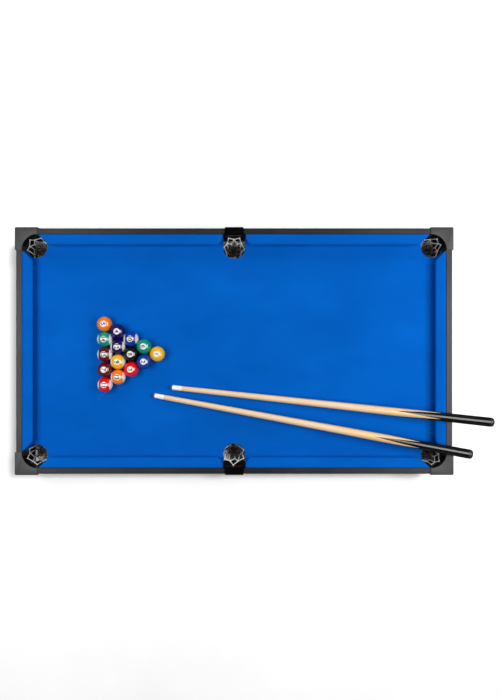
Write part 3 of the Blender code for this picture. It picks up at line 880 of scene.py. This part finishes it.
def digit_solid(text, radius):
    """Raised ink digits as a closed mesh wrapped on the ball's top, their tops towards +X."""
    curve = bpy.data.curves.new(f"digits {text}", "FONT")
    curve.body = text
    curve.align_x = "CENTER"
    curve.size = DIGIT_HEIGHT / CAPITAL_SHARE
    curve.extrude = 0.1 * MM
    curve.offset = 0.5 * MM
    curve.resolution_u = 4
    if len(text) == 2:
        curve.space_character = 0.92
    shaper = new_object(f"digits {text}", curve)
    bm = bmesh.new()
    flat = bpy.data.meshes.new_from_object(shaper.evaluated_get(bpy.context.evaluated_depsgraph_get()))
    bm.from_mesh(flat)
    bpy.data.objects.remove(shaper, do_unlink=True)
    bpy.data.meshes.remove(flat)
    xs = [v.co.x for v in bm.verts]
    ys = [v.co.y for v in bm.verts]
    middle = Vector(((min(xs) + max(xs)) / 2, (min(ys) + max(ys)) / 2, 0))
    squeeze = min(1.0, 1.15 * DIGIT_HEIGHT / (max(xs) - min(xs)))
    for vertex in bm.verts:
        vertex.co.x = (vertex.co.x - middle.x) * squeeze
        vertex.co.y -= middle.y
    if text in ("6", "9"):
        place = Matrix.Translation((0, -BAR_DOWN, 0)) @ Matrix.Diagonal((*BAR_SIZE, 1.0))
        bmesh.ops.create_cube(bm, size=1.0, matrix=place)
    for axis in (Vector((1, 0, 0)), Vector((0, 1, 0))):
        for step in range(-7, 8):
            everything = bm.verts[:] + bm.edges[:] + bm.faces[:]
            bmesh.ops.bisect_plane(bm, geom=everything, plane_co=axis * step * WRAP_STEP, plane_no=axis)
    bmesh.ops.remove_doubles(bm, verts=bm.verts, dist=1e-6)
    for vertex in bm.verts:
        up, across = vertex.co.y, -vertex.co.x
        level = radius + (INK_ABOVE if vertex.co.z > 0 else -INK_BELOW)
        vertex.co = Vector((up, across, math.sqrt(level**2 - up**2 - across**2)))
    bmesh.ops.triangulate(bm, faces=[f for f in bm.faces if len(f.verts) > 4])
    return bm


def make_ball(number):
    name = f"ball_{number}"
    low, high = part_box(name)
    centre, radius = (low + high) / 2, (high.z - low.z) / 2
    striped = number > 8
    colour = BALL_COLOURS[(number - 1) % 8]
    belt = math.pi - 2 * CIRCLE_ANGLE
    polar = [CIRCLE_ANGLE * i / CIRCLE_STEPS for i in range(1, CIRCLE_STEPS + 1)]
    polar += [CIRCLE_ANGLE + belt * i / BELT_STEPS for i in range(1, BELT_STEPS + 1)]
    polar += [math.pi - CIRCLE_ANGLE * i / CIRCLE_STEPS for i in range(CIRCLE_STEPS - 1, 0, -1)]
    turns = [math.tau * k / BALL_SIDES for k in range(BALL_SIDES)]
    bm = bmesh.new()
    rows = []
    for angle in polar:
        wide, height = radius * math.sin(angle), radius * math.cos(angle)
        rows.append([bm.verts.new((wide * math.cos(a), wide * math.sin(a), height)) for a in turns])
    for upper, lower in zip(rows, rows[1:]):
        bridge(bm, lower, upper)
    for pole, row in ((radius, rows[0]), (-radius, rows[-1][::-1])):
        tip = bm.verts.new((0, 0, pole))
        for k in range(BALL_SIDES):
            bm.faces.new((row[k], row[(k + 1) % BALL_SIDES], tip))
    if striped:
        for side in (-1, 1):
            edge = (side * STRIPE_HALF * radius, 0, 0)
            everything = bm.verts[:] + bm.edges[:] + bm.faces[:]
            bmesh.ops.bisect_plane(bm, geom=everything, plane_co=edge, plane_no=(1, 0, 0), dist=1e-7)
    for vertex in bm.verts:
        vertex.co = vertex.co.normalized() * radius
    for face in bm.faces:
        middle = face.calc_center_median()
        in_circle = abs(middle.z) > math.cos(CIRCLE_ANGLE) * middle.length
        white = in_circle or (striped and abs(middle.x) > STRIPE_HALF * radius)
        face.material_index = int(white)
    for turn in (0.0, math.pi):
        digits = digit_solid(str(number), radius)
        digits.transform(Matrix.Rotation(turn, 4, "X"))
        for face in digits.faces:
            face.material_index = 2
        mesh = new_mesh("digits", digits)
        bm.from_mesh(mesh)
        bpy.data.meshes.remove(mesh)
    looks = [f"ball {colour}", "ball white", "ball ink"]
    place = Matrix.Translation(centre)
    ball = add_piece(f"{name}_resin", bm, name, looks, [name], matrix=place, sharp=50.0)
    RESIN.objects.link(ball)


# --- cues


CUE_SIDES = 48
CUE_PARTS = ("tip", "ferrule", "shaft", "butt", "bumper")
TIP_DOME = 3.2 * MM
DOME_STEPS = 8
SPLICE_START = 0.629  # distance of the black points' tips from the cue's tip end
SPLICE_TURN = {"cue_1": math.radians(72), "cue_2": math.radians(87)}
SPLICE_FULL = 0.985  # of a quarter turn that each point takes up at the butt
SPLICE_LEAST = 0.012  # and at its tip
BUMPER_ROUND = 8.5 * MM
BUMPER_NARROWED = 0.36  # of the butt's radius that the bumper's rounding takes off


def cue_axis(name):
    """The cue's frame at its tip end, Z along the cue, and the origin and heading that stations are
    measured from.
    """
    heading = Vector(next(j["axis"] for j in frame["joints"] if j["name"] == f"{name}_draw")).normalized()
    points = [v.co for v in frame["nodes"][f"{name}_shaft"].data.vertices]
    middle = sum(points, Vector()) / len(points)
    tip_points = [(v.co - middle).dot(heading) for v in frame["nodes"][f"{name}_tip"].data.vertices]
    origin = middle + heading * min(tip_points)
    across = Vector((0, 0, 1)).cross(heading).normalized()
    up = heading.cross(across)
    turn = Matrix((across, up, heading)).transposed().to_4x4()
    return Matrix.Translation(origin) @ turn, origin, heading


def stations(node_name, origin, heading):
    """A turned node's first and last (distance along the cue, radius)."""
    found = []
    for vertex in frame["nodes"][node_name].data.vertices:
        along = (vertex.co - origin).dot(heading)
        found.append((along, (vertex.co - origin - heading * along).length))
    found.sort()
    start, end = found[0][0], found[-1][0]
    first = max(r for s, r in found if s < start + 0.05 * MM)
    last = max(r for s, r in found if s > end - 0.05 * MM)
    return (start, first), (end, last)


def turned(profile, sides=CUE_SIDES):
    """A turned solid about Z through (radius, station) points."""
    bm = bmesh.new()
    angles = [math.tau * k / sides for k in range(sides)]
    loft(bm, [[(r * math.cos(a), r * math.sin(a), s) for a in angles] for r, s in profile])
    return bm


def shaft_mesh(first, last, splice_turn):
    """The tapered shaft, with four black points spliced into its butt end."""
    (start, start_radius), (end, end_radius) = first, last

    def radius_at(station):
        return start_radius + (end_radius - start_radius) * (station - start) / (end - start)

    plain = [start + (SPLICE_START - start) * i / 12 for i in range(13)]
    steps = 30
    spliced = [SPLICE_START + (end - SPLICE_START) * (i / steps) for i in range(1, steps + 1)]
    bm = bmesh.new()
    rows = []
    half_columns = 6
    for station in plain + spliced:
        share = max(0.0, (station - SPLICE_START) / (end - SPLICE_START))
        half_width = max(SPLICE_LEAST, share) * math.pi / 4 * SPLICE_FULL
        angles = []
        for point in range(4):
            middle = splice_turn + point * math.pi / 2
            for i in range(half_columns):
                angles.append(middle - half_width + 2 * half_width * i / half_columns)
            gap = math.pi / 2 - 2 * half_width
            for i in range(half_columns):
                angles.append(middle + half_width + gap * i / half_columns)
        radius = radius_at(station)
        rows.append([bm.verts.new((radius * math.cos(a), radius * math.sin(a), station)) for a in angles])
    for index, (low, high) in enumerate(zip(rows, rows[1:])):
        for column, face in enumerate(bridge(bm, low, high)):
            in_point = (column // half_columns) % 2 == 0
            face.material_index = 1 if in_point and index >= len(plain) - 1 else 0
    bm.faces.new(reversed(rows[0]))
    bm.faces.new(rows[-1])
    bmesh.ops.recalc_face_normals(bm, faces=bm.faces)
    return bm


def make_cue(name):
    matrix, origin, heading = cue_axis(name)
    ends = {part: stations(f"{name}_{part}", origin, heading) for part in CUE_PARTS}
    quarter = [math.pi / 2 * i / DOME_STEPS for i in range(DOME_STEPS + 1)]
    tip_end, tip_radius = ends["tip"][1]
    joint = (tip_end + ends["ferrule"][0][0]) / 2
    tip = [(max(tip_radius * math.sin(a) ** 0.8, 0.4 * MM), TIP_DOME * (1 - math.cos(a))) for a in quarter]
    tip += [(tip_radius * 1.01, tip_end - 0.5 * MM), (tip_radius * 0.99, joint)]
    (_, ferrule_radius), (ferrule_end, ferrule_far) = ends["ferrule"]
    ferrule_joint = (ferrule_end + ends["shaft"][0][0]) / 2
    ferrule = [(ferrule_radius * 0.985, joint), (ferrule_radius, joint + 0.4 * MM)]
    ferrule += [(ferrule_far, ferrule_joint - 0.15 * MM), (ferrule_far * 0.99, ferrule_joint)]
    (_, shaft_radius), (shaft_end, shaft_far) = ends["shaft"]
    shaft_joint = (shaft_end + ends["butt"][0][0]) / 2
    shaft = shaft_mesh((ferrule_joint, shaft_radius), (shaft_joint, shaft_far), SPLICE_TURN[name])
    (_, butt_radius), (butt_end, butt_far) = ends["butt"]
    butt_joint = (butt_end + ends["bumper"][0][0]) / 2
    butt = [(butt_radius, shaft_joint), (butt_far, butt_joint - 0.2 * MM), (butt_far * 0.985, butt_joint)]
    cue_end = ends["bumper"][1][0]
    bumper = [(butt_far * 0.985, butt_joint), (butt_far * 0.995, butt_joint + 0.3 * MM)]
    for angle in quarter:
        narrowed = butt_far * (0.995 - BUMPER_NARROWED * (1 - math.cos(angle)))
        bumper.append((narrowed, cue_end - BUMPER_ROUND * (1 - math.sin(angle))))
    bumper += [(butt_far * 0.42, cue_end), (butt_far * 0.36, cue_end - 0.9 * MM)]
    bumper.append((0.6 * MM, cue_end - 1 * MM))
    meshes = (turned(tip), turned(ferrule), shaft, turned(butt), turned(bumper))
    looks = (["leather"], ["ferrule"], ["maple", "lacquer"], ["lacquer"], ["rubber"])
    for part, bm, look in zip(CUE_PARTS, meshes, looks):
        solid = f"{name}_{part}"
        add_piece(f"{solid}_turned", bm, name, look, [solid], matrix=matrix, sharp=35.0)


# --- feet, and the CAD's own boards


THREAD_PITCH = 1 * MM
THREAD_ROOT, THREAD_CREST = 2.6 * MM, 3 * MM


def make_foot(name):
    """A moulded pad with a grip ring, on a zinc-plated stem with a lock nut."""
    node_name = f"levelling_foot_{name}"
    low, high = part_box(node_name)
    place = Matrix.Translation(((low.x + high.x) / 2, (low.y + high.y) / 2, 0))
    reach = (high.x - low.x) / 2
    pad = [(reach * 0.86, 0.0), (reach * 0.95, 0.25 * MM), (reach, 1 * MM), (reach, 4.6 * MM)]
    pad += [(reach * 0.95, 5.4 * MM), (reach * 0.8, 6.3 * MM)]
    pad += [(reach * 0.58, 6.8 * MM), (3.1 * MM, 6.9 * MM)]
    add_piece(f"{node_name}_pad", turned(pad, 40), node_name, ["foot"], [node_name], matrix=place)
    station = 7.2 * MM
    stem = [(THREAD_ROOT, 6.9 * MM), (THREAD_ROOT, station)]
    while station < high.z - 1.5 * THREAD_PITCH:
        crest = [(THREAD_CREST, station + THREAD_PITCH * share) for share in (0.35, 0.5)]
        station += THREAD_PITCH
        stem += [*crest, (THREAD_ROOT, station)]
    stem.append((2.3 * MM, high.z))
    add_piece(f"{node_name}_stem", turned(stem, 24), node_name, ["steel"], matrix=place)
    nut = [(4.6 * MM, 8 * MM), (5.5 * MM, 8.5 * MM), (5.5 * MM, 11.3 * MM), (4.6 * MM, 11.8 * MM)]
    add_piece(f"{node_name}_nut", turned(nut, 6), node_name, ["steel"], matrix=place, sharp=20.0)


def dress_cad_nodes():
    """Materials for the boards, beams and panel, whose CAD shape is right."""
    finishes = {
        "fibreboard": ("bed_panel", "cross_beam_left", "cross_beam_right"),
        "laminate along x": ("frame_board_front", "frame_board_back"),
        "laminate along y": ("frame_board_left", "frame_board_right"),
    }
    for look, names in finishes.items():
        for name in names:
            materials = frame["nodes"][name].data.materials
            materials.clear()
            materials.append(LOOKS[look])


# --- stage


def add_light(name, kind, power, place, heading, in_gloss=True):
    data = bpy.data.lights.new(name, kind)
    data.energy = power
    light = new_object(name, data)
    light.location = place
    light.rotation_mode = "QUATERNION"
    light.rotation_quaternion = heading.to_track_quat("-Z", "Y")
    light.visible_glossy = in_gloss
    return light


def area_light(name, place, target, size, power, in_gloss=True):
    light = add_light(name, "AREA", power, place, Vector(target) - Vector(place), in_gloss)
    light.data.shape = "RECTANGLE"
    light.data.size, light.data.size_y = size
    return light


def make_floor():
    bm = bmesh.new()
    bmesh.ops.create_grid(bm, x_segments=2, y_segments=2, size=FLOOR_HALF)
    mesh = new_mesh("floor", bm)
    floor_look, tree, shader, where = start_material("pale_floor", Roughness=0.9, Specular_IOR_Level=0.0)
    tint = ramp(tree, noise(tree, where, 2.0), ((0.3, (0.60,) * 3), (0.7, (0.64,) * 3)))
    feed(shader, "Base Color", tint)
    mesh.materials.append(floor_look)
    floor = new_object("floor", mesh)
    floor.location.z = -FLOOR_GAP
    floor.visible_glossy = False
    return floor


def make_world():
    """A light tent: bright just above the horizon, dim overhead."""
    world = bpy.data.worlds.new("light tent")
    bpy.context.scene.world = world
    world.use_nodes = True
    tree = world.node_tree
    where = node(tree, "ShaderNodeTexCoord").outputs["Generated"]
    height = weighted(tree, component(tree, where, 2), 1.0, HORIZON_DIP)
    stops = tuple((position, (level,) * 3) for position, level in TENT_GLOW)
    tree.links.new(ramp(tree, height, stops), tree.nodes["Background"].inputs["Color"])


def make_lights(floor):
    """Softboxes over the table, a fill behind it, a glint for the balls and a sun for the floor."""
    for name, x, size, power in SOFTBOXES:
        area_light(name, (x, 0.0, BED_TOP + SOFTBOX_HEIGHT), (x, 0.0, BED_TOP), size, power)
    name, place, size, power = BACK_FILL
    area_light(name, place, (0.1, 0.0, BED_TOP), size, power, in_gloss=False)
    name, x, size, power = GLINT
    glint = area_light(name, (x, 0.0, BED_TOP + SOFTBOX_HEIGHT), (x, 0.0, BED_TOP), size, power)
    glint.visible_diffuse = False
    glint.light_linking.receiver_collection = RESIN
    sun = add_light("overhead", "SUN", SUN_POWER, (0, 0, 0), Vector(SUN_HEADING), in_gloss=False)
    sun.data.angle = SUN_ANGLE
    lit = bpy.data.collections.new("lit by the overhead lamp")
    lit.objects.link(floor)
    sun.light_linking.receiver_collection = lit


def make_camera():
    data = bpy.data.cameras.new("overhead view")
    data.lens = CAMERA_LENS
    data.sensor_width = 36.0
    data.shift_x, data.shift_y = CAMERA_SHIFT
    camera = new_object("overhead view", data)
    camera.location = (CENTRE_X, 0.0, RAIL_TOP + CAMERA_ABOVE_RAIL)
    bpy.context.scene.camera = camera
    bpy.context.scene.view_settings.view_transform = "Standard"


make_camera()
make_world()
make_lights(make_floor())
dress_cad_nodes()
make_bed_cloth()
make_cushions()
make_pocket_mouldings()
for index, pocket in enumerate(POCKETS):
    make_net(pocket, 11 + index)
for ball_number in range(1, 16):
    make_ball(ball_number)
for cue in ("cue_1", "cue_2"):
    make_cue(cue)
for corner in CORNERS:
    make_foot(corner)
